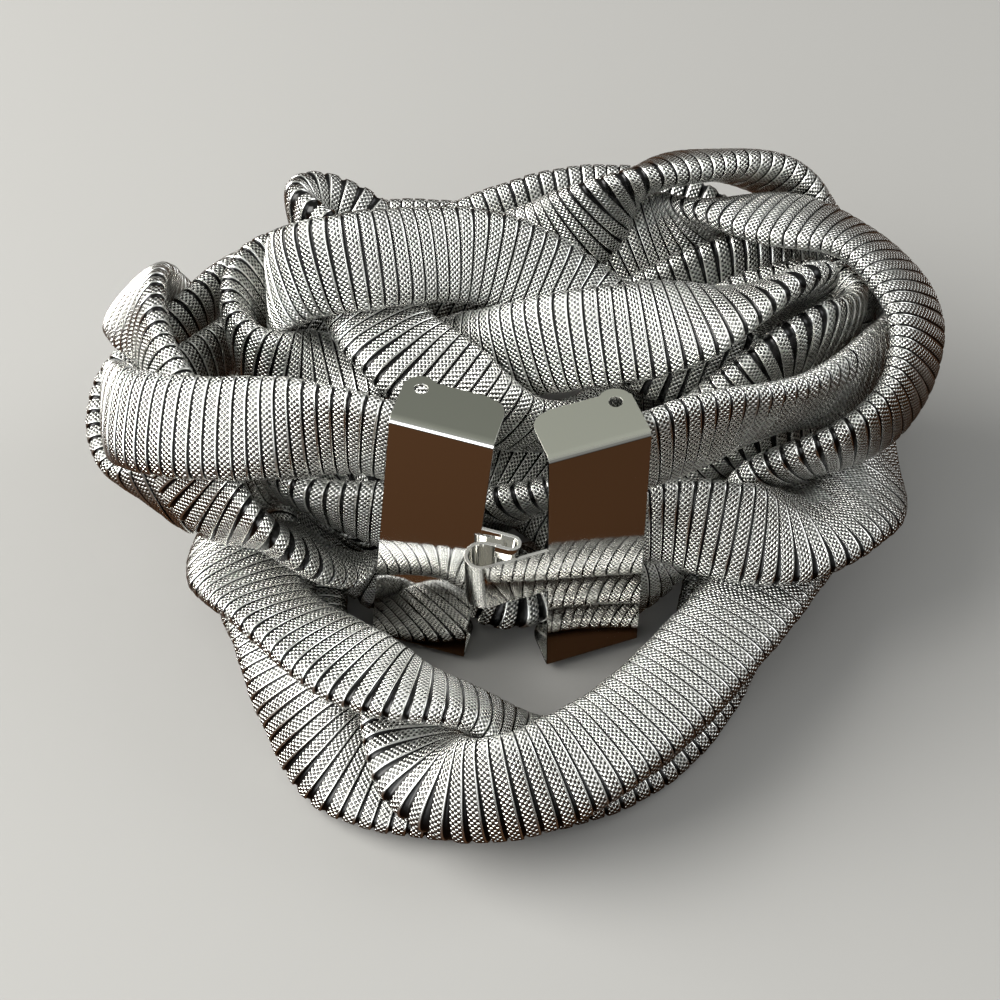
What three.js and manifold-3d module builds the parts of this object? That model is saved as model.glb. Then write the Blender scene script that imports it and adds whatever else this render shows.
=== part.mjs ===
// Metal stretch belt: three flattened ribbed tubes plaited together, held at both ends
// in a two-part sheet-metal clasp. The belt lies folded over itself in two rounds.
// Millimetres, +Z up. The route is laid out on a table at z = 0, seen from -Y.

import * as THREE from 'three';
import { mergeVertices } from 'three/addons/utils/BufferGeometryUtils.js';
import Module from 'manifold-3d';

const wasm = await Module();
wasm.setup();

// Tube sizes. settleStep is the distance between stations, tension how far a tube draws
// itself together and clearance the room kept between tubes
const tubeWidth = 14.9;
const tubeThick = 5.2;
const tubeSides = 10;
const sectionsPerTube = 160;
const settleStep = 3.1;
const tension = 0.965;
const clearance = 0.95;
// The solid stays this far inside the room its tube takes up while settling
const skin = 0.28;

// Clasp sizes
const sheet = 0.5;
const plateHeight = 47;
const plateWidth = 14.2;
const bendRadius = 0.8;
const flangeDepth = 8;
const earRadius = 2.4;
const earInset = 2.5;
const earReach = 6.6;
const holeRadius = 0.95;
const hookHeight = 9;
const tabHeight = 11;
const tubeSpacing = 15.15;
const tubeSeat = sheet + 0.35 + tubeThick / 2;

// Where each clasp half stands: middle of its face, then turns about the upright,
// the long and the facing axis, in degrees
const tabPlace = { x: -10, y: -13.6, z: 25, yaw: -14, pitch: 0, roll: 6 };
const hookPlace = { x: 13.4, y: -15.6, z: 25, yaw: 19, pitch: 3, roll: -2 };

// Middle of the belt, row by row. crossings counts how often the tubes have crossed so far,
// lean tips the band's top edge to the left of its run (degrees), spread is how far the
// outer tubes stand from the middle across the band and depth how far they pass over it
const routeColumns = ['crossings', 'x', 'y', 'z', 'lean', 'spread', 'depth'];
const route = [
  [0.5, -10, -10, 25, 0, 17, 0.5],
  [0.9, -26, -9, 25, 0, 15, 2.4],
  [1.4, -40, -4, 27, 0, 11, 3.2],
  [2.0, -51, 1, 28, 0, 9.5, 3.6],
  [2.5, -57, 9, 30, 0, 9, 3.6],
  [3.1, -57, 19, 31, 0, 9, 3.6],
  [3.9, -49, 31, 30, 0, 9, 3.6],
  [4.8, -36, 38, 29, 0, 9, 3.6],
  [5.4, -20, 45, 28, 0, 9, 3.6],
  [6.0, -3, 50, 27, 0, 9, 3.6],
  [7.0, 18, 50, 26, 0, 9, 3.6],
  [8.0, 42, 41, 20, -20, 9, 3.6],
  [8.6, 51, 28, 14, -45, 9, 3.4],
  [9.3, 46, 16, 9, -72, 7, 3.2],
  [10.0, 41, 0, 9, -68, 7, 3.2],
  [10.6, 35, -15, 9, -74, 6, 3.6],
  [11.2, 24, -31, 9, -76, 5, 4],
  [12.0, 6, -41, 9, -76, 5, 4],
  [13.0, -15, -37, 9, -74, 5, 4],
  [14.0, -28, -23, 9, -70, 5, 4],
  [14.8, -33, -9, 9, -70, 5, 4],
  [15.6, -34, 5, 10, -50, 7, 3.6],
  [16.4, -29, 9, 13, 25, 9, 3.5],
  [17.2, -14, 5, 11, 38, 9, 3.5],
  [18.0, 2, 0, 11, 42, 9, 3.5],
  [18.8, 17, 3, 12, 38, 9, 3.5],
  [19.5, 31, 8, 16, 25, 9, 3.4],
  [20.2, 42, 15, 22, 0, 9, 3.4],
  [20.8, 46, 22, 28, -25, 9, 3.4],
  [21.4, 36, 23, 32, -40, 10, 3.4],
  [22.0, 20, 20, 34, -45, 11, 3.4],
  [23.0, -6, 18, 36, -45, 11, 3.4],
  [24.0, -26, 21, 36, -40, 10, 3.4],
  [24.6, -35, 27, 36, -20, 9, 3.4],
  [25.1, -33, 34, 34, 5, 9, 3.4],
  [25.8, -20, 36, 24, 5, 9, 3.4],
  [26.5, -1, 37, 20, 0, 9, 3.4],
  [27.1, 17, 41, 28, 0, 9, 3.6],
  [27.7, 38, 45, 34, 10, 9, 3.8],
  [28.4, 57, 38, 32, 10, 9, 3.8],
  [29.1, 64, 26, 29, 0, 10, 3.8],
  [29.9, 60, 9, 27, 0, 11, 3.8],
  [30.6, 46, -3, 26, 0, 13, 3.4],
  [31.1, 32, -8, 25, 0, 15, 2],
  [31.5, 14, -10, 25, 0, 17, 0.5],
];

// Bends that stand out of the plain plait, tube by tube. tilt turns the flat of the tube
// about its run, in degrees, top edge to the left of its run
const bendColumns = ['crossings', 'x', 'y', 'z', 'tilt'];
const bends = {
  tube_a: [
    [1.0, -27, -7, 39, 0],
    [1.5, -39, -4, 38, 0],
    [2.0, -50, -1, 36, 0],
    [2.35, -56, 5, 33, 0],
    [6.0, -4, 47, 27, 0],
    [6.5, 4, 50, 32, -10],
    [7.0, 14, 51, 34, -10],
    [7.5, 30, 49, 32, 0],
    [8.1, 45, 42, 27, 0],
    [9.6, 42, 10, 8, -75],
    [10.0, 39, 2, 9, -65],
    [10.4, 36, -9, 9, -70],
    [10.8, 30, -20, 9, -75],
    [11.1, 24, -28, 9, -78],
    [11.5, 16, -35, 9, -78],
    [12, 6, -42, 8.5, -78],
    [12.4, -4, -42, 10.5, -76],
    [12.9, -14, -39, 12, -72],
    [13.4, -23, -30, 14, -68],
    [13.9, -26, -22, 16, -66],
    [14.3, -30, -14, 15, -66],
    [14.7, -32, -5, 15, -66],
    [15.2, -35, 5, 14, -60],
    [18.0, 2, -3, 15, 40],
    [20.2, 37, 12, 28, -10],
    [20.4, 44, 15, 31, 0],
    [20.6, 52, 21, 33, 0],
    [20.8, 53, 28, 33, 0],
    [21.0, 47, 33, 31, 0],
    [22.1, 13, 11, 24, -50],
    [22.5, 1, 7, 29, -55],
    [22.9, -7, 10, 34, -55],
    [23.3, -16, 15, 36, -60],
    [23.7, -24, 21, 37, -65],
    [24.1, -32, 28, 36, -60],
    [24.6, -35, 34, 38, -40],
    [25.0, -33, 37, 38, -20],
    [25.4, -29, 40, 37, 5],
    [25.8, -23, 42, 31, 10],
    [29.7, 58, 30, 29, 15],
    [30.1, 57, 19, 32, 12],
    [30.5, 52, 9, 35, 5],
    [30.9, 42, 1, 38, 0],
    [31.2, 29, -6, 39, 0],
  ],
  tube_b: [
    [0.9, -24, -11, 25, 0],
    [1.2, -31, -8, 24, 0],
    [1.6, -43, -1, 20, 0],
    [2.0, -50, 0, 19, 0],
    [2.4, -54, 4, 21, 0],
    [2.8, -56, 10, 23, 0],
    [3.1, -56, 17, 25, 0],
    [3.5, -55, 23, 27, 0],
    [3.9, -52, 28, 28, 0],
    [4.3, -48, 34, 27, 0],
    [4.8, -41, 41, 27, 0],
    [5.2, -33, 44, 26, 0],
    [5.7, -17, 48, 26, 0],
    [6.2, -3, 51, 25, 0],
    [6.8, 9, 52, 21, 0],
    [9.4, 42, 16, 13, -75],
    [10.0, 41, 2, 15, -65],
    [10.6, 36, -13, 15, -72],
    [10.9, 28, -26, 15, -75],
    [11.4, 20, -35, 15, -76],
    [11.9, 13, -43, 15, -76],
    [12.3, 5, -46, 14.5, -76],
    [12.7, -3, -45, 13, -74],
    [13.1, -13, -40, 10, -74],
    [13.5, -21, -32, 7, -78],
    [14.0, -26, -22, 3.5, -82],
    [14.5, -30, -12, 3.5, -85],
    [15.2, -34, 3, 4, -80],
    [20.6, 44, 20, 21, -40],
    [20.9, 40, 18, 26, -45],
    [21.2, 32, 15, 29, -50],
    [21.6, 24, 17, 31, -50],
    [22.0, 17, 23, 33, -50],
    [22.3, 11, 27, 37, -50],
    [22.6, 4, 28, 41, -48],
    [23.0, -5, 26, 44, -48],
    [23.5, -16, 25, 45, -48],
    [24.0, -26, 24, 44, -45],
    [24.35, -33, 23, 41, -30],
    [24.65, -34, 25, 36, -10],
    [27.3, 22, 44, 38, -20],
    [27.6, 34, 42, 40, -25],
    [27.9, 44, 39, 41, -20],
    [28.3, 53, 32, 41, 0],
    [28.8, 58, 22, 39, 20],
    [29.3, 60, 12, 35, 25],
    [29.8, 58, 5, 30, 18],
    [30.2, 54, 1, 27, 10],
    [30.6, 47, -2, 22, -10],
    [30.9, 38, -3, 17, -10],
  ],
  tube_c: [
    [0.8, -25, -8.4, 12.5, 0],
    [1.0, -31, -9.5, 17, 0],
    [1.3, -40, -7, 23, 0],
    [1.6, -47, -1, 28, 0],
    [2.0, -50, 6, 32, 0],
    [2.4, -51, 12, 35, -10],
    [2.7, -54, 17, 37, -10],
    [3.0, -55, 23, 37, -5],
    [3.3, -54, 30, 32, 0],
    [3.7, -53, 36, 25, 0],
    [4.2, -47, 43, 19, 0],
    [9.6, 40, 13, 3.5, -85],
    [10.5, 34, -9, 3.5, -85],
    [10.8, 29, -21, 3.5, -85],
    [11.1, 23, -30, 3.5, -80],
    [11.4, 18, -36, 3.5, -78],
    [11.8, 11, -39, 3.5, -75],
    [12.2, 3, -40, 3.5, -75],
    [12.6, -4, -40, 3.5, -70],
    [12.9, -12, -39, 4, -65],
    [13.3, -18, -38, 5, -60],
    [13.7, -22, -32, 7, -62],
    [14.1, -26, -25, 8, -65],
    [14.5, -27, -12, 9, -75],
    [15.2, -31, 4, 9, -75],
    [18.0, 2, -8, 4, 70],
    [20.4, 41, 23, 25, -60],
    [20.7, 48, 23, 31, -70],
    [21.0, 46, 20, 37, -60],
    [21.3, 38, 16, 41, -52],
    [21.8, 26, 13, 43, -48],
    [22.2, 14, 11, 42, -47],
    [22.6, 4, 13, 38, -47],
    [23.0, -5, 17, 32, -48],
    [23.5, -18, 18, 29, -45],
    [24.0, -30, 17, 30, -35],
    [24.4, -36, 19, 32, -20],
    [24.8, -38, 25, 34, 0],
    [25.1, -37, 33, 34, 0],
    [25.4, -32, 40, 31, 10],
    [26.5, 0, 44, 28, 0],
    [26.8, 8, 42, 31, -5],
    [27.0, 17, 42, 36, -15],
    [27.3, 28, 47, 42, -28],
    [27.6, 39, 50, 43, -30],
    [27.8, 47, 49, 41, -20],
    [28.0, 53, 46, 36, 0],
    [28.3, 57, 41, 28, 0],
    [28.7, 56, 34, 21, 0],
    [29.2, 52, 26, 18, 0],
    [29.7, 50, 15, 17, -10],
    [30.1, 49, 6, 18, -15],
    [30.4, 47, -2, 20, -15],
    [30.8, 42, -8, 22, -5],
  ],
};
const plaitOrder = { tube_a: 0, tube_b: 1, tube_c: 2 };
const firstCrossing = 0.5;
const lastCrossing = 31.5;

const degrees = Math.PI / 180;
const up = new THREE.Vector3(0, 0, 1);

function named(columns, rows) {
  return rows.map((row) => Object.fromEntries(columns.map((name, i) => [name, row[i]])));
}

// A smooth curve through rows of numbers, kept free of overshoot by limiting its slopes
function smoothRows(rows, key) {
  const at = rows.map((row) => row.crossings);
  const value = rows.map((row) => row[key]);
  const step = at.slice(1).map((a, i) => a - at[i]);
  const rise = step.map((h, i) => (value[i + 1] - value[i]) / h);
  const slope = value.map((_, i) => {
    if (i === 0) return rise[0];
    if (i === value.length - 1) return rise[i - 1];
    if (rise[i - 1] === 0 || rise[i] === 0) return 0;
    return (rise[i - 1] * step[i] + rise[i] * step[i - 1]) / (step[i - 1] + step[i]);
  });
  return (c) => {
    let i = 0;
    while (i < step.length - 1 && c > at[i + 1]) i += 1;
    const t = THREE.MathUtils.clamp((c - at[i]) / step[i], 0, 1);
    const t2 = t * t;
    const t3 = t2 * t;
    return (
      value[i] * (2 * t3 - 3 * t2 + 1) +
      slope[i] * step[i] * (t3 - 2 * t2 + t) +
      value[i + 1] * (3 * t2 - 2 * t3) +
      slope[i + 1] * step[i] * (t3 - t2)
    );
  };
}

const routeRows = named(routeColumns, route);
const routeCurve = Object.fromEntries(
  routeColumns.slice(1).map((key) => [key, smoothRows(routeRows, key)])
);

function routePoint(c) {
  return new THREE.Vector3(routeCurve.x(c), routeCurve.y(c), routeCurve.z(c));
}

// Directions of the band at a crossing count: along its run, across it and out of its flat
function routeAxes(c) {
  const run = routePoint(c + 0.05).sub(routePoint(c - 0.05)).normalize();
  const left = new THREE.Vector3().crossVectors(up, run).normalize();
  const lean = routeCurve.lean(c) * degrees;
  const across = up.clone().multiplyScalar(Math.cos(lean)).addScaledVector(left, Math.sin(lean));
  across.addScaledVector(run, -across.dot(run)).normalize();
  const out = new THREE.Vector3().crossVectors(across, run).normalize();
  return { run, left, across, out };
}

// A three-tube plait: each tube swings across the band and passes over, then under
function plaitPoint(order, c) {
  const phase = (60 * (c - 1) + 120 * order) * degrees;
  const { across, out } = routeAxes(c);
  return routePoint(c)
    .addScaledVector(across, routeCurve.spread(c) * Math.cos(phase))
    .addScaledVector(out, routeCurve.depth(c) * Math.sin(2 * phase));
}

function placeMatrix({ x, y, z, yaw, pitch, roll }) {
  const turn = new THREE.Euler(pitch * degrees, roll * degrees, yaw * degrees, 'ZXY');
  return new THREE.Matrix4().makeRotationFromEuler(turn).setPosition(x, y, z);
}

const tabMatrix = placeMatrix(tabPlace);
const hookMatrix = placeMatrix(hookPlace);

// Tubes sit side by side behind the plates, top to bottom in the order the plait gives
function seatRows(order) {
  const tabLevel = 1 - order;
  const hookLevel = { 0: 1, 2: 0, 1: -1 }[order];
  const rows = [];
  const put = (crossings, matrix, x, level) => {
    const p = new THREE.Vector3(x, tubeSeat, level * tubeSpacing).applyMatrix4(matrix);
    rows.push({ crossings, x: p.x, y: p.y, z: p.z, tilt: 0 });
  };
  put(0.5, tabMatrix, 3, tabLevel);
  put(0.66, tabMatrix, -9.5, tabLevel);
  put(31.34, hookMatrix, 9.5, hookLevel);
  put(31.5, hookMatrix, -3, hookLevel);
  return rows;
}

// The tube's path: the plait, pulled over to its own bends where it has them
function tubeCurve(name) {
  const order = plaitOrder[name];
  const seats = seatRows(order);
  const rows = [...seats.slice(0, 2), ...named(bendColumns, bends[name]), ...seats.slice(2)];
  const shifts = rows.map((row) => {
    const base = plaitPoint(order, row.crossings);
    const lean = routeCurve.lean(row.crossings);
    return {
      crossings: row.crossings,
      x: row.x - base.x,
      y: row.y - base.y,
      z: row.z - base.z,
      tilt: row.tilt - lean,
      hold: 1,
    };
  });
  const fade = 1.1;
  const padded = [];
  shifts.forEach((row, i) => {
    padded.push(row);
    const next = shifts[i + 1];
    if (next && next.crossings - row.crossings > 2 * fade) {
      padded.push({ crossings: row.crossings + fade, x: 0, y: 0, z: 0, tilt: 0, hold: 0 });
      padded.push({ crossings: next.crossings - fade, x: 0, y: 0, z: 0, tilt: 0, hold: 0 });
    }
  });
  const shift = Object.fromEntries(
    ['x', 'y', 'z', 'tilt', 'hold'].map((key) => [key, smoothRows(padded, key)])
  );
  const point = (c) =>
    plaitPoint(order, c).add(new THREE.Vector3(shift.x(c), shift.y(c), shift.z(c)));
  const tilt = (c) => routeCurve.lean(c) + shift.tilt(c);
  return { point, tilt, hold: shift.hold };
}

// Even stations along a tube, each with its middle and the direction of its flat
function layStations(name) {
  const curve = tubeCurve(name);
  const fine = [];
  const pieces = 3000;
  let length = 0;
  for (let i = 0; i <= pieces; i += 1) {
    const c = THREE.MathUtils.lerp(firstCrossing, lastCrossing, i / pieces);
    const p = curve.point(c);
    if (i > 0) length += p.distanceTo(fine[i - 1].p);
    fine.push({ c, p, length });
  }
  const count = Math.round(length / settleStep);
  const stations = [];
  let j = 0;
  for (let i = 0; i <= count; i += 1) {
    const want = (length * i) / count;
    while (j < fine.length - 2 && fine[j + 1].length < want) j += 1;
    const t = (want - fine[j].length) / (fine[j + 1].length - fine[j].length || 1);
    const c = THREE.MathUtils.lerp(fine[j].c, fine[j + 1].c, t);
    stations.push({ c, p: curve.point(c), hold: curve.hold(c), tilt: curve.tilt(c) });
  }
  stations.forEach((station, i) => {
    const before = stations[Math.max(i - 1, 0)].p;
    const after = stations[Math.min(i + 1, count)].p;
    const run = after.clone().sub(before).normalize();
    const flatRun = new THREE.Vector3(run.x, run.y, 0).normalize();
    const left = new THREE.Vector3().crossVectors(up, flatRun);
    const tilt = station.tilt * degrees;
    const w = up.clone().multiplyScalar(Math.cos(tilt)).addScaledVector(left, Math.sin(tilt));
    w.addScaledVector(run, -w.dot(run)).normalize();
    station.w = w;
  });
  const ends = [tabMatrix, hookMatrix].map((matrix) =>
    new THREE.Vector3().setFromMatrixColumn(matrix, 2)
  );
  const pinned = 4;
  for (let i = 0; i < pinned; i += 1) {
    stations[i].w = ends[0].clone();
    stations[count - i].w = ends[1].clone();
  }
  return { name, stations, pinned, spacing: (length / count) * tension };
}

// Flat boxes that the tubes have to keep clear of, in the frame of each clasp half
const claspBoxes = [
  { matrix: tabMatrix, low: [-9.2, -0.3, -23], high: [7.3, sheet, 23] },
  { matrix: hookMatrix, low: [-7.3, -0.3, -23], high: [9.2, sheet, 23] },
  { matrix: tabMatrix, low: [-7.3, 0, 22.2], high: [7.3, flangeDepth + 1.2, 23] },
  { matrix: hookMatrix, low: [-7.3, 0, 22.2], high: [7.3, flangeDepth + 1.2, 23] },
  { matrix: tabMatrix, low: [-7.3, 0, -23], high: [7.3, flangeDepth, -22.2] },
  { matrix: hookMatrix, low: [-7.3, 0, -23], high: [7.3, flangeDepth, -22.2] },
  { matrix: tabMatrix, low: [7, -3.2, -6], high: [13.5, sheet, 6] },
  { matrix: hookMatrix, low: [-20, -1, -5], high: [-7, 4.6, 5] },
];

// Settling: the tubes keep their width and spacing, bend smoothly and push each other apart
// until every pair is clear, the way the real plait finds its lie
function settle(tubes) {
  const reach = tubeWidth / 2 - tubeThick / 2;
  const radius = tubeThick / 2;
  const samples = [-1, -0.5, 0, 0.5, 1];
  const rails = tubes.map((tube) => {
    const n = tube.stations.length;
    const pos = new Float64Array(n * 6);
    const home = new Float64Array(n * 3);
    tube.stations.forEach((s, i) => {
      ['x', 'y', 'z'].forEach((axis, a) => {
        pos[i * 6 + a] = s.p[axis] + s.w[axis] * reach;
        pos[i * 6 + 3 + a] = s.p[axis] - s.w[axis] * reach;
        home[i * 3 + a] = s.p[axis];
      });
    });
    const hold = tube.stations.map((s) => s.hold);
    const shove = new Float64Array(n * 6);
    const most = new Float64Array(n);
    return { n, pos, home, hold, shove, most, spacing: tube.spacing, pinned: tube.pinned };
  });
  const free = (rail, i) => i >= rail.pinned && i < rail.n - rail.pinned;
  const boxes = claspBoxes.map((box) => ({
    forward: box.matrix.elements,
    back: box.matrix.clone().invert().elements,
    low: box.low,
    high: box.high,
  }));
  const spheres = [];
  rails.forEach((rail, r) => {
    for (let i = 0; i < rail.n; i += 1) {
      samples.forEach((t) => spheres.push({ r, i, wa: (1 + t) / 2, wb: (1 - t) / 2 }));
    }
  });
  const count = spheres.length;
  const xs = new Float64Array(count);
  const ys = new Float64Array(count);
  const zs = new Float64Array(count);
  const sr = Int32Array.from(spheres, (s) => s.r);
  const si = Int32Array.from(spheres, (s) => s.i);
  const wa = Float64Array.from(spheres, (s) => s.wa);
  const wb = Float64Array.from(spheres, (s) => s.wb);
  const push = (k, dx, dy, dz) => {
    const rail = rails[sr[k]];
    const i = si[k];
    if (!free(rail, i)) return;
    const a = i * 6;
    rail.shove[a] += dx * wa[k];
    rail.shove[a + 1] += dy * wa[k];
    rail.shove[a + 2] += dz * wa[k];
    rail.shove[a + 3] += dx * wb[k];
    rail.shove[a + 4] += dy * wb[k];
    rail.shove[a + 5] += dz * wb[k];
    rail.most[i] = Math.max(rail.most[i], Math.hypot(dx, dy, dz));
  };
  const applyShoves = (rail) => {
    for (let i = 0; i < rail.n; i += 1) {
      for (let a = i * 6; a < i * 6 + 6; a += 3) {
        const size = Math.hypot(rail.shove[a], rail.shove[a + 1], rail.shove[a + 2]);
        const scale = size > 0 ? Math.min(1, (1.1 * rail.most[i]) / size) : 0;
        for (let k = 0; k < 3; k += 1) rail.pos[a + k] += rail.shove[a + k] * scale;
      }
    }
    rail.shove.fill(0);
    rail.most.fill(0);
  };
  const rounds = 520;
  const cell = tubeThick + clearance + 0.05;
  for (let round = 0; round < rounds; round += 1) {
    const progress = round / rounds;
    const grown = radius * Math.min(1, 0.45 + progress * 1.1);
    const gap = 2 * grown + clearance * Math.min(1, progress * 1.6);
    const pull = 0.2 * Math.max(0, 1 - progress * 1.12);
    const smoothing = progress < 0.94 ? 0.045 : 0.012;
    rails.forEach((rail) => {
      const { n, pos, home, hold, spacing } = rail;
      for (let i = 0; i < n; i += 1) {
        if (!free(rail, i)) continue;
        const a = i * 6;
        for (let k = 0; k < 3; k += 1) {
          const mid = (pos[a + k] + pos[a + 3 + k]) / 2;
          const shift = (home[i * 3 + k] - mid) * pull * (0.15 + 0.85 * hold[i]);
          pos[a + k] += shift;
          pos[a + 3 + k] += shift;
        }
      }
      const old = Float64Array.from(pos);
      for (let i = 2; i < n - 2; i += 1) {
        if (!free(rail, i)) continue;
        for (let k = 0; k < 6; k += 1) {
          const a = i * 6 + k;
          const bend = old[a - 12] - 4 * old[a - 6] + 6 * old[a] - 4 * old[a + 6] + old[a + 12];
          pos[a] -= bend * smoothing;
        }
      }
      for (let pass = 0; pass < 2; pass += 1) {
        for (let i = 0; i < n - 1; i += 1) {
          const a = i * 6;
          let dist = 0;
          const d = [0, 0, 0];
          for (let k = 0; k < 3; k += 1) {
            d[k] = (pos[a + 6 + k] + pos[a + 9 + k] - pos[a + k] - pos[a + 3 + k]) / 2;
            dist += d[k] * d[k];
          }
          dist = Math.sqrt(dist) || 1;
          const change = ((dist - spacing) / dist) * 0.5 * 0.7;
          const moveFirst = free(rail, i) ? 1 : 0;
          const moveNext = free(rail, i + 1) ? 1 : 0;
          for (let k = 0; k < 3; k += 1) {
            pos[a + k] += d[k] * change * moveFirst;
            pos[a + 3 + k] += d[k] * change * moveFirst;
            pos[a + 6 + k] -= d[k] * change * moveNext;
            pos[a + 9 + k] -= d[k] * change * moveNext;
          }
        }
        for (let i = 0; i < n; i += 1) {
          if (!free(rail, i)) continue;
          const a = i * 6;
          const run = [0, 0, 0];
          const w = [0, 0, 0];
          let size = 0;
          for (let k = 0; k < 3; k += 1) {
            run[k] = pos[a + 6 + k] + pos[a + 9 + k] - pos[a - 6 + k] - pos[a - 3 + k];
            w[k] = pos[a + k] - pos[a + 3 + k];
            size += run[k] * run[k];
          }
          size = Math.sqrt(size) || 1;
          let along = 0;
          for (let k = 0; k < 3; k += 1) along += (w[k] * run[k]) / size;
          let width = 0;
          for (let k = 0; k < 3; k += 1) {
            w[k] -= ((along * run[k]) / size) * 0.6;
            width += w[k] * w[k];
          }
          width = Math.sqrt(width) || 1;
          for (let k = 0; k < 3; k += 1) {
            const mid = (pos[a + k] + pos[a + 3 + k]) / 2;
            const half = (w[k] / width) * reach;
            pos[a + k] = mid + half;
            pos[a + 3 + k] = mid - half;
          }
        }
      }
    });
    for (let k = 0; k < count; k += 1) {
      const pos = rails[sr[k]].pos;
      const a = si[k] * 6;
      xs[k] = pos[a] * wa[k] + pos[a + 3] * wb[k];
      ys[k] = pos[a + 1] * wa[k] + pos[a + 4] * wb[k];
      zs[k] = pos[a + 2] * wa[k] + pos[a + 5] * wb[k];
    }
    const grid = new Map();
    const cellOf = (value) => Math.floor(value / cell) + 64;
    const keyOf = (x, y, z) => cellOf(x) * 65536 + cellOf(y) * 256 + cellOf(z);
    for (let k = 0; k < count; k += 1) {
      const key = keyOf(xs[k], ys[k], zs[k]);
      const list = grid.get(key);
      if (list) list.push(k);
      else grid.set(key, [k]);
    }
    const near = Math.ceil((tubeWidth * 1.15) / settleStep);
    for (let k = 0; k < count; k += 1) {
      for (let gx = -1; gx <= 1; gx += 1) {
        for (let gy = -1; gy <= 1; gy += 1) {
          for (let gz = -1; gz <= 1; gz += 1) {
            const list = grid.get(keyOf(xs[k] + gx * cell, ys[k] + gy * cell, zs[k] + gz * cell));
            if (!list) continue;
            for (const m of list) {
              if (m <= k) continue;
              if (sr[m] === sr[k] && Math.abs(si[m] - si[k]) < near) continue;
              const dx = xs[k] - xs[m];
              const dy = ys[k] - ys[m];
              const dz = zs[k] - zs[m];
              const dist = Math.sqrt(dx * dx + dy * dy + dz * dz);
              if (dist >= gap || dist < 1e-6) continue;
              const force = ((gap - dist) / dist) * 0.42;
              push(k, dx * force, dy * force, dz * force);
              push(m, -dx * force, -dy * force, -dz * force);
            }
          }
        }
      }
      const floorGap = grown + 0.3;
      if (zs[k] < floorGap) push(k, 0, 0, floorGap - zs[k]);
      for (const box of boxes) {
        const b = box.back;
        const x = b[0] * xs[k] + b[4] * ys[k] + b[8] * zs[k] + b[12];
        const y = b[1] * xs[k] + b[5] * ys[k] + b[9] * zs[k] + b[13];
        const z = b[2] * xs[k] + b[6] * ys[k] + b[10] * zs[k] + b[14];
        const cx = THREE.MathUtils.clamp(x, box.low[0], box.high[0]);
        const cy = THREE.MathUtils.clamp(y, box.low[1], box.high[1]);
        const cz = THREE.MathUtils.clamp(z, box.low[2], box.high[2]);
        const dist = Math.hypot(x - cx, y - cy, z - cz);
        const want = grown + 0.45;
        if (dist >= want) continue;
        const f = box.forward;
        if (dist < 1e-6) {
          push(k, f[4] * 0.5, f[5] * 0.5, f[6] * 0.5);
          continue;
        }
        const s = ((want - dist) / dist) * 0.6;
        const lx = (x - cx) * s;
        const ly = (y - cy) * s;
        const lz = (z - cz) * s;
        push(
          k,
          f[0] * lx + f[4] * ly + f[8] * lz,
          f[1] * lx + f[5] * ly + f[9] * lz,
          f[2] * lx + f[6] * ly + f[10] * lz
        );
      }
    }
    rails.forEach(applyShoves);
  }
  return rails.map((rail) => {
    const list = [];
    for (let i = 0; i < rail.n; i += 1) {
      const a = rail.pos.subarray(i * 6, i * 6 + 6);
      const p = new THREE.Vector3((a[0] + a[3]) / 2, (a[1] + a[4]) / 2, (a[2] + a[5]) / 2);
      const w = new THREE.Vector3(a[0] - a[3], a[1] - a[4], a[2] - a[5]).normalize();
      list.push({ p, w });
    }
    return list;
  });
}

// Picks stations for the solid, closer together where the tube bends or twists
function spreadSections(list) {
  const weight = [0];
  for (let i = 1; i < list.length; i += 1) {
    const before = list[Math.max(i - 2, 0)].p;
    const after = list[Math.min(i + 1, list.length - 1)].p;
    const here = list[i].p.clone().sub(list[i - 1].p);
    const first = list[i - 1].p.clone().sub(before);
    const next = after.clone().sub(list[i].p);
    const bend = first.length() * next.length() > 0 ? first.angleTo(next) : 0;
    const twist = list[i].w.angleTo(list[i - 1].w);
    weight.push(weight[i - 1] + here.length() * 0.16 + bend * 1.1 + twist * 0.9);
  }
  const total = weight[weight.length - 1];
  const picked = [];
  let j = 0;
  for (let s = 0; s < sectionsPerTube; s += 1) {
    const want = (total * s) / (sectionsPerTube - 1);
    while (j < weight.length - 2 && weight[j + 1] < want) j += 1;
    const t = (want - weight[j]) / (weight[j + 1] - weight[j] || 1);
    picked.push({
      p: list[j].p.clone().lerp(list[j + 1].p, t),
      w: list[j].w.clone().lerp(list[j + 1].w, t).normalize(),
    });
  }
  return picked;
}

// Outline of a flattened tube: two round edges joined by slightly crowned flats
function tubeOutline() {
  const reach = tubeWidth / 2 - tubeThick / 2;
  const r = tubeThick / 2 - skin;
  const outline = [];
  const perEdge = tubeSides / 2;
  for (let side = 0; side < 2; side += 1) {
    for (let i = 0; i < perEdge; i += 1) {
      const angle = (-90 + (180 * i) / (perEdge - 1) + 180 * side) * degrees;
      const x = (side === 0 ? reach : -reach) + r * Math.cos(angle);
      outline.push([x, r * Math.sin(angle)]);
    }
  }
  return outline;
}

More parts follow.
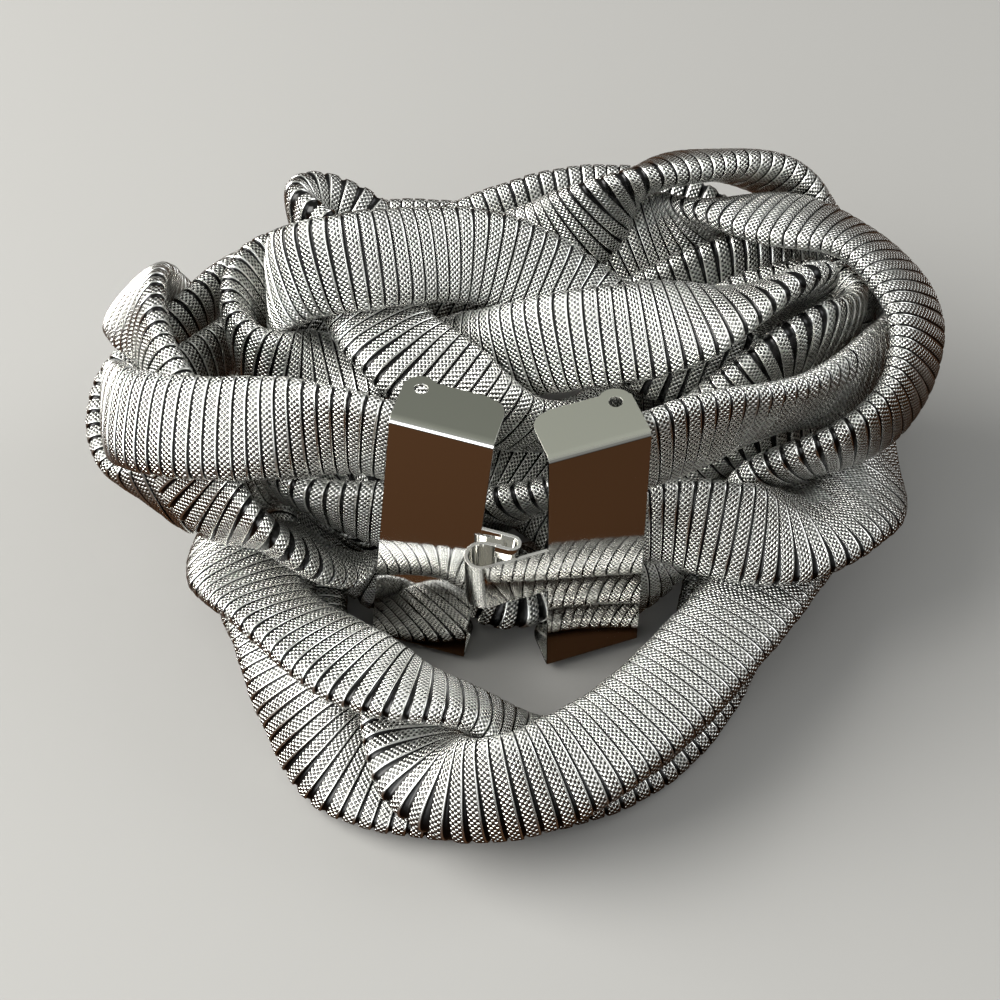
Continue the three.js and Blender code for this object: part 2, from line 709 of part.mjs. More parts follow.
function tubeGeometry(sections) {
  const outline = tubeOutline();
  const sides = outline.length;
  const positions = [];
  const index = [];
  sections.forEach((section, i) => {
    const before = sections[Math.max(i - 1, 0)].p;
    const after = sections[Math.min(i + 1, sections.length - 1)].p;
    const run = after.clone().sub(before).normalize();
    const w = section.w.clone().addScaledVector(run, -section.w.dot(run)).normalize();
    const out = new THREE.Vector3().crossVectors(run, w);
    outline.forEach(([a, b]) => {
      positions.push(...section.p.clone().addScaledVector(w, a).addScaledVector(out, b).toArray());
    });
    if (i === 0) return;
    const row = i * sides;
    for (let k = 0; k < sides; k += 1) {
      const next = (k + 1) % sides;
      index.push(row - sides + k, row - sides + next, row + k);
      index.push(row - sides + next, row + next, row + k);
    }
  });
  const last = (sections.length - 1) * sides;
  for (let k = 1; k < sides - 1; k += 1) {
    index.push(0, k + 1, k);
    index.push(last, last + k, last + k + 1);
  }
  const geometry = new THREE.BufferGeometry();
  geometry.setAttribute('position', new THREE.Float32BufferAttribute(positions, 3));
  geometry.setIndex(index);
  return geometry;
}

// Bent strip: runs and turns of its middle line, given as a thick outline and raised
function bentStrip(start, heading, moves, height) {
  const middle = [];
  const normals = [];
  let [x, y] = start;
  let angle = heading * degrees;
  const put = () => {
    middle.push([x, y]);
    normals.push([-Math.sin(angle), Math.cos(angle)]);
  };
  put();
  moves.forEach(({ run, turn, radius }) => {
    if (run) {
      x += Math.cos(angle) * run;
      y += Math.sin(angle) * run;
      put();
      return;
    }
    const steps = Math.ceil(Math.abs(turn) / 22.5);
    const side = Math.sign(turn);
    const cx = x - Math.sin(angle) * radius * side;
    const cy = y + Math.cos(angle) * radius * side;
    for (let i = 1; i <= steps; i += 1) {
      angle += (turn * degrees) / steps;
      x = cx + Math.sin(angle) * radius * side;
      y = cy - Math.cos(angle) * radius * side;
      put();
    }
  });
  const half = sheet / 2;
  const sideAt = (offset) =>
    middle.map(([a, b], i) => new THREE.Vector2(a + normals[i][0] * offset, b + normals[i][1] * offset));
  const shape = new THREE.Shape([...sideAt(-half), ...sideAt(half).reverse()]);
  const geometry = new THREE.ExtrudeGeometry(shape, { depth: height, bevelEnabled: false });
  return geometry;
}

function toSolid(geometry) {
  const plain = geometry.clone();
  plain.deleteAttribute('normal');
  plain.deleteAttribute('uv');
  const merged = mergeVertices(plain, 1e-5);
  const mesh = new wasm.Mesh({
    numProp: 3,
    vertProperties: Float32Array.from(merged.attributes.position.array),
    triVerts: Uint32Array.from(merged.index.array),
  });
  return new wasm.Manifold(mesh);
}

function toGeometry(solid) {
  const mesh = solid.getMesh();
  const geometry = new THREE.BufferGeometry();
  geometry.setAttribute('position', new THREE.Float32BufferAttribute(mesh.vertProperties, 3));
  geometry.setIndex(Array.from(mesh.triVerts));
  return geometry;
}

// The plate with its top and bottom flange, bent from one strip that runs up the face.
// side is 1 where the tubes enter from -X and -1 where they enter from +X
function plateSolid(side) {
  const rise = plateHeight - 2 * bendRadius - sheet;
  const moves = [
    { run: flangeDepth - bendRadius },
    { turn: -90, radius: bendRadius },
    { run: rise },
    { turn: -90, radius: bendRadius },
    { run: flangeDepth - bendRadius },
  ];
  const strip = bentStrip([flangeDepth, -plateHeight / 2 + sheet / 2], 180, moves, plateWidth);
  strip.applyMatrix4(
    new THREE.Matrix4().makeBasis(
      new THREE.Vector3(0, 1, 0),
      new THREE.Vector3(0, 0, 1),
      new THREE.Vector3(1, 0, 0)
    )
  );
  strip.translate(-plateWidth / 2, sheet / 2, 0);
  let solid = toSolid(strip);
  const outerX = (-side * plateWidth) / 2;
  const earX = outerX + side * earInset;
  const ear = new THREE.CylinderGeometry(earRadius, earRadius, sheet, 24).rotateX(Math.PI / 2);
  ear.translate(earX, earReach, plateHeight / 2 - sheet / 2);
  const hole = new THREE.CylinderGeometry(holeRadius, holeRadius, 4, 20).rotateX(Math.PI / 2);
  hole.translate(earX, earReach, plateHeight / 2);
  const corner = cornerCutter();
  const innerCorner = corner.clone();
  innerCorner.scale(side, 1, 1);
  if (side < 0) flipFaces(innerCorner);
  innerCorner.translate((side * plateWidth) / 2, flangeDepth, 0);
  solid = solid.subtract(toSolid(innerCorner));
  const outerTrim = new THREE.BoxGeometry(1.6, 1.8, 3);
  outerTrim.rotateZ((side * 40 * Math.PI) / 180);
  outerTrim.translate(outerX, flangeDepth + 0.4, plateHeight / 2);
  solid = solid.subtract(toSolid(outerTrim));
  return solid.add(toSolid(ear)).subtract(toSolid(hole));
}

// What is left outside a rounded corner, for trimming the inner back corner of the flanges
function cornerCutter() {
  const r = 2.6;
  const shape = new THREE.Shape();
  shape.moveTo(0.5, -r);
  shape.lineTo(0.5, 0.5);
  shape.lineTo(-r, 0.5);
  shape.lineTo(-r, 0);
  shape.absarc(-r, -r, r, Math.PI / 2, 0, true);
  shape.lineTo(0.5, -r);
  const geometry = new THREE.ExtrudeGeometry(shape, {
    depth: plateHeight + 2,
    bevelEnabled: false,
    curveSegments: 8,
  });
  geometry.translate(0, 0, -plateHeight / 2 - 1);
  return geometry;
}

function flipFaces(geometry) {
  const p = geometry.attributes.position;
  if (geometry.index) {
    const list = geometry.index.array;
    for (let i = 0; i < list.length; i += 3) [list[i], list[i + 1]] = [list[i + 1], list[i]];
    return;
  }
  for (let i = 0; i < p.count; i += 3) {
    for (let k = 0; k < 3; k += 1) {
      const swap = p.getComponent(i, k);
      p.setComponent(i, k, p.getComponent(i + 1, k));
      p.setComponent(i + 1, k, swap);
    }
  }
}

// Tab half: the tab runs on past the inner edge and curls back towards the viewer
const tabMoves = [{ run: 4.9 }, { turn: -180, radius: 1.2 }, { run: 1.9 }];
// Hook half: the hook runs on past its inner edge and curls back behind the tab's curl
const hookMoves = [{ run: 9.3 }, { turn: -213, radius: 2.18 }, { run: 2.2 }];

function tabHalf() {
  const strip = bentStrip([plateWidth / 2 - 0.5, sheet / 2], 0, tabMoves, tabHeight);
  strip.translate(0, 0, -tabHeight / 2 + 1);
  return toGeometry(plateSolid(1).add(toSolid(strip)));
}

function hookHalf() {
  const strip = bentStrip([-plateWidth / 2 + 0.5, sheet / 2], 180, hookMoves, hookHeight);
  strip.translate(0, 0, -hookHeight / 2);
  return toGeometry(plateSolid(-1).add(toSolid(strip)));
}

const ribbedMetal = new THREE.MeshStandardMaterial({ color: 0xb9bcb8, roughness: 0.35, metalness: 1 });
const mirrorMetal = new THREE.MeshStandardMaterial({ color: 0xc9cbc8, roughness: 0.08, metalness: 1 });

function addMesh(group, name, geometry, material) {
  const mesh = new THREE.Mesh(geometry, material.clone());
  mesh.name = name;
  group.add(mesh);
  return mesh;
}

const belt = new THREE.Group();
const laid = Object.keys(bends).map(layStations);
const settled = settle(laid);
laid.forEach((tube, i) => {
  addMesh(belt, tube.name, tubeGeometry(spreadSections(settled[i])), ribbedMetal);
});
const tab = addMesh(belt, 'clasp_tab_half', tabHalf(), mirrorMetal);
tab.applyMatrix4(tabMatrix);
const hook = addMesh(belt, 'clasp_hook_half', hookHalf(), mirrorMetal);
hook.applyMatrix4(hookMatrix);

// Origin: middle of the heap, on the surface it lies on
const bounds = new THREE.Box3();
belt.updateMatrixWorld(true);
belt.children.forEach((mesh) => bounds.expandByObject(mesh, true));
const centre = bounds.getCenter(new THREE.Vector3());
belt.children.forEach((mesh) => {
  mesh.geometry.applyMatrix4(mesh.matrix);
  mesh.geometry.translate(-centre.x, -centre.y, -bounds.min.z);
  mesh.position.set(0, 0, 0);
  mesh.quaternion.identity();
  mesh.updateMatrix();
});

export default belt;
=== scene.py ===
import math

import bmesh
import bpy
import numpy as np
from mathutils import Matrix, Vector


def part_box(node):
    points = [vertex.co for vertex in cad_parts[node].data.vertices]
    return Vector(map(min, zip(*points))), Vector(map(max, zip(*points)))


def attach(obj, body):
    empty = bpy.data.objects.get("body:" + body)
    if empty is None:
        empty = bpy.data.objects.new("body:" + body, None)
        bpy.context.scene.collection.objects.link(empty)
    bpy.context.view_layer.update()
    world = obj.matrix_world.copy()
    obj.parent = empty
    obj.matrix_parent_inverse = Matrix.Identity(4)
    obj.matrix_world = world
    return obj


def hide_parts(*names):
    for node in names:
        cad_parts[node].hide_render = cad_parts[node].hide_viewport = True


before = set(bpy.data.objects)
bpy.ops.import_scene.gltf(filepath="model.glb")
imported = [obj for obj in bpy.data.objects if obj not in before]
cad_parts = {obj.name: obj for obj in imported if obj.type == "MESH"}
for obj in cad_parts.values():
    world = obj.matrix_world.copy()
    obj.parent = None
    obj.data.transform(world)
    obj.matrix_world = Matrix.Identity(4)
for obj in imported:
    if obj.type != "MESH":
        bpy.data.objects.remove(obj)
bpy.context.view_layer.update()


# Shader graphs

def newMaterial(name):
    material = bpy.data.materials.new(name)
    material.use_nodes = True
    return material, material.node_tree, material.node_tree.nodes["Principled BSDF"]


def mathNode(tree, operation, first, second=None, clamp=False):
    node = tree.nodes.new("ShaderNodeMath")
    node.operation = operation
    node.use_clamp = clamp
    for socket, value in zip(node.inputs, (first, second)):
        if value is None:
            continue
        if isinstance(value, (int, float)):
            socket.default_value = value
        else:
            tree.links.new(value, socket)
    return node.outputs[0]


def rangeNode(tree, value, low, high, toLow=0.0, toHigh=1.0):
    node = tree.nodes.new("ShaderNodeMapRange")
    node.interpolation_type = "SMOOTHSTEP"
    tree.links.new(value, node.inputs["Value"])
    node.inputs["From Min"].default_value = low
    node.inputs["From Max"].default_value = high
    node.inputs["To Min"].default_value = toLow
    node.inputs["To Max"].default_value = toHigh
    return node.outputs["Result"]


def mixColour(tree, factor, first, second):
    node = tree.nodes.new("ShaderNodeMix")
    node.data_type = "RGBA"
    tree.links.new(factor, node.inputs["Factor"])
    for socket, value in ((node.inputs["A"], first), (node.inputs["B"], second)):
        if isinstance(value, tuple):
            socket.default_value = (*value, 1)
        else:
            tree.links.new(value, socket)
    return node.outputs["Result"]


def splitVector(tree, vector):
    node = tree.nodes.new("ShaderNodeSeparateXYZ")
    tree.links.new(vector, node.inputs[0])
    return node.outputs


def objectPlace(tree):
    return tree.nodes.new("ShaderNodeTexCoord").outputs["Object"]


def noiseNode(tree, place, scale, detail):
    node = tree.nodes.new("ShaderNodeTexNoise")
    node.inputs["Scale"].default_value = scale
    node.inputs["Detail"].default_value = detail
    tree.links.new(place, node.inputs["Vector"])
    return node.outputs[0]


def bumpNode(tree, height, strength, distance):
    node = tree.nodes.new("ShaderNodeBump")
    node.inputs["Strength"].default_value = strength
    node.inputs["Distance"].default_value = distance
    tree.links.new(height, node.inputs["Height"])
    return node


# The three tubes: rings of pressed strip with a raised lattice. In millimetres, unless it says metres

ribbedTube = {
    "pitch": 2.0,  # one ring
    "halfWidth": 7.3,
    "halfThick": 2.6,
    "inset": (0.12, 0.08),  # how far the rings stay inside those two
    "squareness": 2.35,  # 2 is an ellipse, more is boxier
    "around": 30,  # sides of a section
    "mostStretch": 1.7,  # outside a bend
    "slack": 0.06,  # stretch that opens no joint
    "tilts": (0.05, 0.04),  # ring to ring
    "tiltAcross": 0.4,
    "swell": 0.010,
    "pathStep": 0.0005,  # metres
    "pathSpread": 0.0024,  # metres
    "turnSpread": 0.004,  # metres
    "dotAcross": 0.8,
    "dotsPerRing": 2.5,
    "relief": 0.00017,  # metres
    "bright": (0.90, 0.90, 0.865),
    "worn": (0.74, 0.745, 0.71),
    # Painted shade: the lattice's recesses between the raised dots are coloured near black
    "recessShade": (0.10, 0.10, 0.098),
    "joint": (0.03, 0.03, 0.03),
    "edge": (0.92, 0.92, 0.89),
    "wearScale": 160,
    "roughness": (0.19, 0.32),
    # Where along a ring, as a share of it, the joint and the lattice fade out and in
    "jointEnds": (0.09, 0.065),
    "jointStarts": (0.92, 0.94),
    "latticeStarts": (0.15, 0.18),
    "latticeEnds": (0.93, 0.90),
}

# One ring's outline along the tube: share of the ring, and how far the metal stands out

ringProfile = (
    (0.0, -0.45),
    (0.065, -0.2),
    (0.1, 0.02),
    (0.14, 0.0),
    (0.5, 0.02),
    (0.88, -0.03),
    (0.935, -0.15),
)


def ribbedMetal():
    look = ribbedTube
    material, tree, shader = newMaterial("ribbed_metal")
    uv = tree.nodes.new("ShaderNodeUVMap")
    uv.uv_map = "ringMap"
    across, along = splitVector(tree, uv.outputs[0])[:2]
    ring = mathNode(tree, "FRACT", mathNode(tree, "DIVIDE", along, look["pitch"]))
    fromMiddle = mathNode(tree, "SUBTRACT", ring, 0.5)
    turnAcross = mathNode(tree, "MULTIPLY", across, 2 * math.pi / look["dotAcross"])
    turnAlong = mathNode(tree, "MULTIPLY", fromMiddle, 2 * math.pi * look["dotsPerRing"])
    waveAcross = mathNode(tree, "COSINE", turnAcross)
    waveAlong = mathNode(tree, "COSINE", turnAlong)
    lattice = mathNode(tree, "MULTIPLY", waveAcross, waveAlong)
    raised = rangeNode(tree, lattice, -0.5, 0.15)
    latticeStart = rangeNode(tree, ring, *look["latticeStarts"])
    latticeEnd = rangeNode(tree, ring, *look["latticeEnds"])
    body = mathNode(tree, "MULTIPLY", latticeStart, latticeEnd)
    jointStart = rangeNode(tree, ring, *look["jointStarts"])
    jointEnd = rangeNode(tree, ring, *look["jointEnds"])
    joint = mathNode(tree, "ADD", jointStart, jointEnd, clamp=True)
    wear = noiseNode(tree, objectPlace(tree), look["wearScale"], 3)
    bright = mixColour(tree, rangeNode(tree, wear, 0.35, 0.7), look["bright"], look["worn"])
    # The raised dots keep the metal's tone and the recesses between them take painted shade
    latticeColour = mixColour(tree, raised, look["recessShade"], bright)
    colour = mixColour(tree, body, look["edge"], latticeColour)
    colour = mixColour(tree, joint, colour, look["joint"])
    tree.links.new(colour, shader.inputs["Base Color"])
    shader.inputs["Metallic"].default_value = 1.0
    tree.links.new(rangeNode(tree, wear, 0.3, 0.75, *look["roughness"]), shader.inputs["Roughness"])
    height = mathNode(tree, "MULTIPLY", rangeNode(tree, lattice, -0.8, 0.9), body)
    bump = bumpNode(tree, height, 1.0, look["relief"])
    tree.links.new(bump.outputs[0], shader.inputs["Normal"])
    return material


def weldedMesh(node):
    count = len(node.data.vertices)
    flat = np.empty(count * 3, dtype=np.float32)
    node.data.vertices.foreach_get("co", flat)
    points = flat.reshape(-1, 3).astype(float)
    rounded = np.round(points, 6)
    first, index = np.unique(rounded, axis=0, return_index=True, return_inverse=True)[1:]
    node.data.calc_loop_triangles()
    tris = np.empty(len(node.data.loop_triangles) * 3, dtype=np.int32)
    node.data.loop_triangles.foreach_get("vertices", tris)
    tris = index.reshape(-1)[tris].reshape(-1, 3)
    return points[first], tris


# The CAD solid is a chain of equal rings, so its middle line and its turn can be read back from it
def sectionRings(node, startNear):
    points, tris = weldedMesh(node)
    near = [set() for _ in points]
    for a, b, c in tris:
        near[a].update((b, c))
        near[b].update((a, c))
        near[c].update((a, b))
    fans = sorted(range(len(points)), key=lambda i: -len(near[i]))[:2]
    fan = min(fans, key=lambda i: float(np.linalg.norm(points[i] - startNear)))
    ring = {fan} | {i for i in near[fan] if len(near[i]) <= 5}
    seen = set(ring)
    rings = []
    while ring:
        rings.append(sorted(ring))
        ring = {j for i in ring for j in near[i]} - seen
        seen |= ring
    sizes = {len(r) for r in rings}
    if len(sizes) != 1:
        raise RuntimeError(f"{node.name}: uneven rings {sorted(sizes)}")
    middles = np.array([points[r].mean(axis=0) for r in rings])
    wides = []
    for r, middle in zip(rings, middles):
        axis = np.linalg.svd(points[r] - middle)[2][0]
        before = wides[-1] if wides else np.array((0, 0, 1.0))
        wides.append(axis if axis @ before > 0 else -axis)
    return middles, np.array(wides)


def smoothed(values, step, spread):
    reach = int(3 * spread / step)
    weights = np.exp(-0.5 * (np.arange(-reach, reach + 1) * step / spread) ** 2)
    weights /= weights.sum()
    head = 2 * values[0] - values[reach:0:-1]
    tail = 2 * values[-1] - values[-2:-reach - 2:-1]
    padded = np.vstack((head, values, tail))
    return np.stack([np.convolve(padded[:, k], weights, mode="valid") for k in range(3)], axis=1)


def sampled(where, at, values):
    return np.stack([np.interp(where, at, values[:, k]) for k in range(3)], axis=1)


def unit(vectors):
    return vectors / np.linalg.norm(vectors, axis=1)[:, None]


# The tube's middle line and its wide direction, at fine steps along it
def tubePath(name, startNear):
    form = ribbedTube
    step = form["pathStep"]
    middles, wides = sectionRings(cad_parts[name], startNear)
    steps = np.linalg.norm(np.diff(middles, axis=0), axis=1)
    at = np.concatenate(((0,), np.cumsum(steps)))
    fineAt = np.linspace(0, at[-1], int(at[-1] / step) + 1)
    path = smoothed(sampled(fineAt, at, middles), step, form["pathSpread"])
    wide = smoothed(sampled(fineAt, at, wides), step, form["turnSpread"])
    return fineAt, path, wide


# One row for each bend of each ring's outline: share of the tube, rise, tilt and swell
def ringRows(ringCount):
    firstTilt, secondTilt = ribbedTube["tilts"]
    rows = []
    for ring in range(ringCount):
        tilt = firstTilt * math.sin(ring * 2.399 + 1.3) + secondTilt * math.sin(ring * 0.77)
        swell = 1 + ribbedTube["swell"] * math.sin(ring * 1.713)
        for share, rise in ringProfile:
            rows.append(((ring + share) / ringCount, rise, tilt, swell))
    rows.append((1.0, ringProfile[0][1], 0, 1))
    return np.array(rows)


# The strip keeps its width on the outside of a bend, so there the joints open up
def openedJoints(points, ringCount):
    form = ribbedTube
    perRing = len(ringProfile)
    joints = points[::perRing]
    reach = joints[1:] - joints[:-1]
    stretch = np.linalg.norm(reach, axis=2) / (form["pitch"] / 1000) - form["slack"]
    stretch = np.clip(stretch, 1.0, form["mostStretch"])
    opened = points.copy()
    for k in range(1, perRing):
        shift = (ringProfile[k][0] - 0.5) * (1 / stretch - 1)
        opened[k::perRing][:ringCount] += shift[..., None] * reach
    return opened


def sectionOutline():
    turn = 2 * np.pi * np.arange(ribbedTube["around"]) / ribbedTube["around"]
    power = 2 / ribbedTube["squareness"]
    x = np.sign(np.cos(turn)) * np.abs(np.cos(turn)) ** power
    y = np.sign(np.sin(turn)) * np.abs(np.sin(turn)) ** power
    return x, y


def roundTheSection(x, y):
    form = ribbedTube
    outline = np.stack((form["halfWidth"] * x, form["halfThick"] * y), axis=1)
    edge = np.linalg.norm(np.roll(outline, -1, axis=0) - outline, axis=1)
    distance = np.concatenate(((0,), np.cumsum(edge)))
    distance *= round(distance[-1] / form["dotAcross"]) * form["dotAcross"] / distance[-1]
    return distance


def buildTube(name, startNear, material):
    form = ribbedTube
    fineAt, path, wide = tubePath(name, startNear)
    length = fineAt[-1]
    ringCount = int(round(length * 1000 / form["pitch"]))
    share, rise, tilt, swell = ringRows(ringCount).T
    where = share * length
    centre = sampled(where, fineAt, path)
    across = sampled(where, fineAt, wide)
    run = unit(sampled(where + 0.001, fineAt, path) - sampled(where - 0.001, fineAt, path))
    across = unit(across - (across * run).sum(axis=1)[:, None] * run)
    outward = np.cross(run, across)
    x, y = sectionOutline()
    halfWidth = form["halfWidth"] + rise - form["inset"][0]
    halfThick = form["halfThick"] + rise - form["inset"][1]
    offAcross = (halfWidth * swell)[:, None] * x[None, :] / 1000
    offOutward = halfThick[:, None] * y[None, :] / 1000
    offAlong = tilt[:, None] * x[None, :] * form["tiltAcross"] / 1000
    points = centre[:, None, :] + across[:, None, :] * offAcross[..., None]
    points = points + outward[:, None, :] * offOutward[..., None]
    points = points + run[:, None, :] * offAlong[..., None]
    points = openedJoints(points, ringCount)
    mapAlong = share * ringCount * form["pitch"]
    return tubeObject(name, points, roundTheSection(x, y), mapAlong, material)


def tubeObject(name, points, mapAcross, mapAlong, material):
    rowCount, around = points.shape[:2]
    row, col = np.meshgrid(np.arange(rowCount - 1), np.arange(around), indexing="ij")
    near, far, after = row * around, (row + 1) * around, (col + 1) % around
    quads = np.stack((near + col, near + after, far + after, far + col), axis=-1).reshape(-1, 4)
    faces = quads.tolist()
    faces.append(list(range(around))[::-1])
    last = (rowCount - 1) * around
    faces.append([last + k for k in range(around)])
    mesh = bpy.data.meshes.new(name + "_ribbed")
    mesh.from_pydata(points.reshape(-1, 3).tolist(), [], faces)
    layer = mesh.uv_layers.new(name="ringMap")
    u0, u1 = mapAcross[col].reshape(-1), mapAcross[col + 1].reshape(-1)
    v0, v1 = mapAlong[row].reshape(-1), mapAlong[row + 1].reshape(-1)
    uv = np.stack((u0, v0, u1, v0, u1, v1, u0, v1), axis=1).reshape(-1, 2)
    # The end caps take the plain dark tone of a joint
    caps = np.tile((0.0, ribbedTube["pitch"] * 0.98), (2 * around, 1))
    layer.data.foreach_set("uv", np.vstack((uv, caps)).astype(np.float32).reshape(-1))
    mesh.polygons.foreach_set("use_smooth", np.ones(len(faces), dtype=bool))
    mesh.materials.append(material)
    mesh.update()
    made = bpy.data.objects.new(name + "_ribbed", mesh)
    bpy.context.collection.objects.link(made)
    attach(made, "root")
    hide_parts(name)
    return made


tabLow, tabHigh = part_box("clasp_tab_half")
tabMiddle = np.array((tabLow + tabHigh) / 2)
tubeMetal = ribbedMetal()
for tubeName in ("tube_a", "tube_b", "tube_c"):
    tube = buildTube(tubeName, tabMiddle, tubeMetal)
    print(tubeName, "ribbed,", len(tube.data.polygons), "faces")


# The clasp halves: the CAD sheet with its edges rolled over, mirror polished, with satin top flanges

claspSheet = {
    "bevel": 0.00014,
    "bevelSteps": 3,
    "mirror": (0.82, 0.81, 0.78),
    # Painted shade: the rolled curls are coloured darker than the polished plate, on the same steel
    "curl": (0.36, 0.36, 0.34),
    # The flanges' satin grey tone is real; the tab half is painted darker as painted shade and the
    # hook half lighter as painted light
    "satinLitAndShaded": {"clasp_tab_half": (0.33, 0.34, 0.29), "clasp_hook_half": (0.58, 0.59, 0.51)},
    "mirrorRoughness": 0.05,
    "curlRoughness": 0.16,
    "satinRoughness": 0.34,
    "flangeAbove": 0.04,  # height where the top flanges start
    "rippleScale": 60,
    "rippleStrength": 0.15,
    "rippleHeight": 0.00002,
    # How far each pressed plate throws its reflection up
    "bow": {"clasp_tab_half": 0.36, "clasp_hook_half": 0.24},
}


def mirrorMetal(half):
    look = claspSheet
    material, tree, shader = newMaterial("clasp_metal")
    shader.inputs["Metallic"].default_value = 1.0
    normal = tree.nodes.new("ShaderNodeNewGeometry").outputs["Normal"]
    facingY, facingZ = splitVector(tree, normal)[1:]
    place = objectPlace(tree)
    # The way a face looks tells the top flange, the plate and the curls apart
    bottom = look["flangeAbove"]
    high = rangeNode(tree, splitVector(tree, place)[2], bottom, bottom + 0.001)
    flange = mathNode(tree, "MULTIPLY", rangeNode(tree, facingZ, 0.4, 0.85), high)
    facing = mathNode(tree, "ABSOLUTE", facingY)
    curled = rangeNode(tree, facing, 0.8, 0.9, look["curlRoughness"], look["mirrorRoughness"])
    rough = mathNode(tree, "MULTIPLY", flange, look["satinRoughness"])
    tree.links.new(mathNode(tree, "MAXIMUM", curled, rough), shader.inputs["Roughness"])
    # Faces that are neither plate nor level, the curls, take the darker painted shade
    level = rangeNode(tree, mathNode(tree, "ABSOLUTE", facingZ), 0.4, 0.7)
    plain = mathNode(tree, "MAXIMUM", rangeNode(tree, facing, 0.8, 0.9), level)
    sheet = mixColour(tree, plain, look["curl"], look["mirror"])
    # Top flanges take their half's satin tone, with painted shade on the tab half and painted light
    # on the hook half
    colour = mixColour(tree, flange, sheet, look["satinLitAndShaded"][half])
    tree.links.new(colour, shader.inputs["Base Color"])
    bowed = tree.nodes.new("ShaderNodeVectorMath")
    bowed.operation = "ADD"
    tree.links.new(normal, bowed.inputs[0])
    bowed.inputs[1].default_value = (0, 0, look["bow"][half])
    unitBowed = tree.nodes.new("ShaderNodeVectorMath")
    unitBowed.operation = "NORMALIZE"
    tree.links.new(bowed.outputs[0], unitBowed.inputs[0])
    ripple = noiseNode(tree, place, look["rippleScale"], 1)
    bump = bumpNode(tree, ripple, look["rippleStrength"], look["rippleHeight"])
    tree.links.new(unitBowed.outputs[0], bump.inputs["Normal"])
    tree.links.new(bump.outputs[0], shader.inputs["Normal"])
    return material


def buildClasp(name, material):
    work = bmesh.new()
    work.from_mesh(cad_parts[name].data)
    bmesh.ops.remove_doubles(work, verts=work.verts, dist=1e-6)
    bmesh.ops.dissolve_limit(work, angle_limit=math.radians(1.0), verts=work.verts, edges=work.edges)
    mesh = bpy.data.meshes.new(name + "_polished")
    work.to_mesh(mesh)
    work.free()
    mesh.materials.clear()
    mesh.materials.append(material)
    made = bpy.data.objects.new(name + "_polished", mesh)
    bpy.context.collection.objects.link(made)
    bevel = made.modifiers.new("rolledEdge", "BEVEL")
    bevel.width = claspSheet["bevel"]
    bevel.segments = claspSheet["bevelSteps"]
    bevel.limit_method = "ANGLE"
    bevel.angle_limit = math.radians(40)
    flat = made.modifiers.new("flatFaces", "WEIGHTED_NORMAL")
    flat.mode = "FACE_AREA"
    flat.weight = 100
    for polygon in mesh.polygons:
        polygon.use_smooth = True
    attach(made, "root")
    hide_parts(name)
    return made


for claspName in ("clasp_tab_half", "clasp_hook_half"):
    buildClasp(claspName, mirrorMetal(claspName))
    print(claspName, "polished")


# Floor and light

studio = {
    "floor": (0.33, 0.325, 0.315),
    # Painted reflection: the dark tone the hidden card lends the metal's reflections
    "reflectionCardTone": (0.040, 0.019, 0.009),
    "low": (0.10, 0.098, 0.095),
    "overhead": (0.55, 0.56, 0.535),
    "ambient": 0.82,
    # Size in metres, power in watts, place and colour
    "windowLight": ((0.9, 0.7), 18.5, (-0.70, 0.02, 0.48), (1.0, 0.99, 0.96)),
    "frontFill": ((0.6, 0.5), 2.4, (-0.35, -0.62, 0.42), (0.96, 0.98, 1.0)),
    "sideFill": ((0.5, 0.5), 2.2, (0.65, 0.2, 0.5), (0.97, 0.98, 1.0)),
}


def addPlane(name, location, colour, roughness, gloss):
    bpy.ops.mesh.primitive_plane_add(size=6, location=location)
    plane = bpy.context.object
    plane.name = name
    material, _, shader = newMaterial(name)
    shader.inputs["Base Color"].default_value = (*colour, 1)
    shader.inputs["Roughness"].default_value = roughness
    shader.inputs["Specular IOR Level"].default_value = gloss
    plane.data.materials.append(material)
    return plane


addPlane("floor", (0, 0, 0), studio["floor"], 0.7, 0.1)
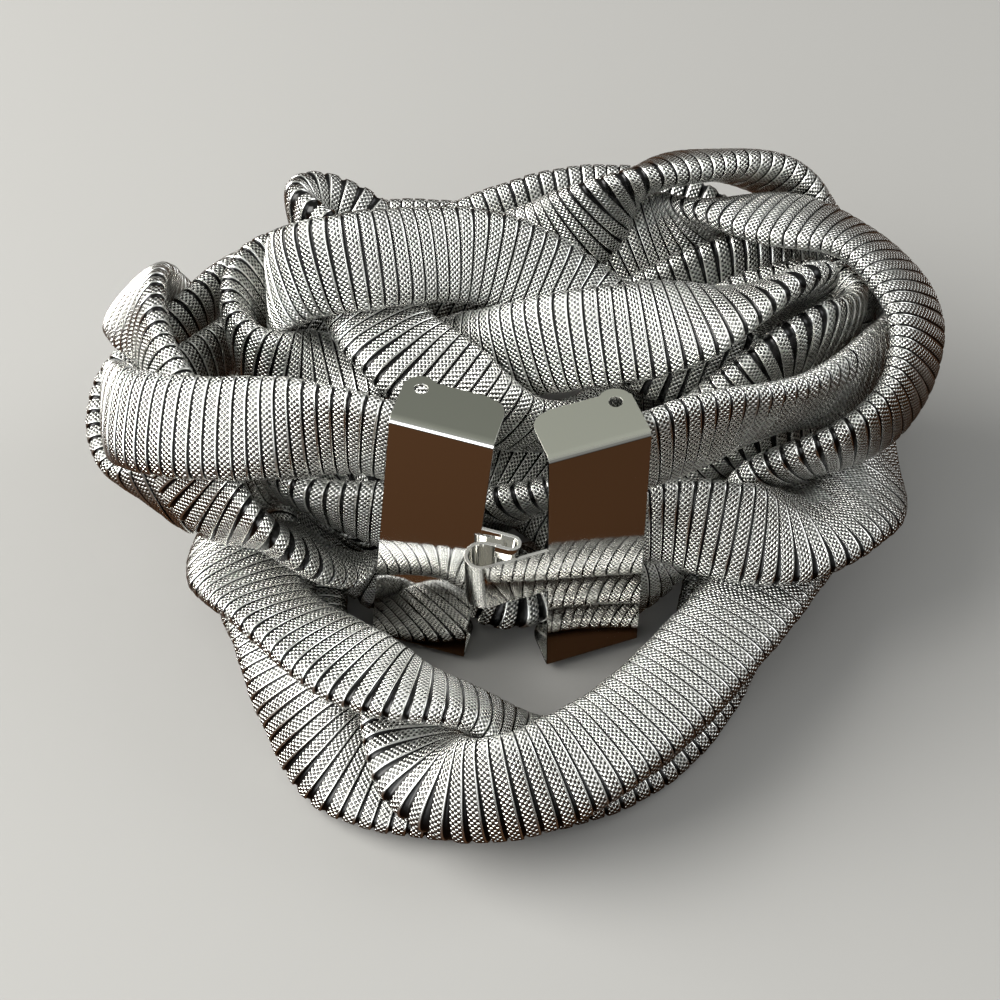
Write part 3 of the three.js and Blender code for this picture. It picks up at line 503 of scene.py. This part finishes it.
# A dark sheet that only the metal's reflections see: a painted dark reflection in the plates and on
# the tubes' undersides
card = addPlane("paintedReflectionCard", (0, 0, 0.00005), studio["reflectionCardTone"], 0.8, 0)
card.visible_camera = False
card.visible_diffuse = False
card.visible_shadow = False


def addSoftbox(name):
    size, power, place, colour = studio[name]
    light = bpy.data.lights.new(name, "AREA")
    light.shape = "RECTANGLE"
    light.size, light.size_y = size
    light.energy = power
    light.color = colour
    lamp = bpy.data.objects.new(name, light)
    lamp.location = place
    towards = Vector((0, 0, 0.02)) - Vector(place)
    lamp.rotation_euler = towards.to_track_quat("-Z", "Y").to_euler()
    bpy.context.collection.objects.link(lamp)


for lightName in ("windowLight", "frontFill", "sideFill"):
    addSoftbox(lightName)

world = bpy.data.worlds.new("room")
world.use_nodes = True
worldTree = world.node_tree
direction = worldTree.nodes.new("ShaderNodeTexCoord").outputs["Generated"]
height = rangeNode(worldTree, splitVector(worldTree, direction)[2], -0.1, 0.9)
sky = mixColour(worldTree, height, studio["low"], studio["overhead"])
worldTree.links.new(sky, worldTree.nodes["Background"].inputs["Color"])
worldTree.nodes["Background"].inputs["Strength"].default_value = studio["ambient"]
bpy.context.scene.world = world


# Camera, from in front and 47 degrees above the floor

camera = {
    "focal": 1.803,  # focal length as a share of the sensor
    "sensor": 36,
    "elevation": math.radians(47),
    "distance": 0.265,
    # Where it looks, told from the tab plate's outer back bottom corner
    "aimFromTab": (0.01915, 0.003293, 0.019113),
}

lens = bpy.data.cameras.new("camera")
lens.sensor_width = camera["sensor"]
lens.lens = camera["focal"] * camera["sensor"]
lens.clip_start, lens.clip_end = 0.01, 20
eye = bpy.data.objects.new("camera", lens)
aim = Vector((tabLow.x, tabHigh.y, tabLow.z)) + Vector(camera["aimFromTab"])
back = Vector((0, -math.cos(camera["elevation"]), math.sin(camera["elevation"])))
eye.location = aim + back * camera["distance"]
eye.rotation_euler = (-back).to_track_quat("-Z", "Y").to_euler()
bpy.context.collection.objects.link(eye)
bpy.context.scene.camera = eye
bpy.context.scene.view_settings.view_transform = "Standard"
print("floor, light and camera set")
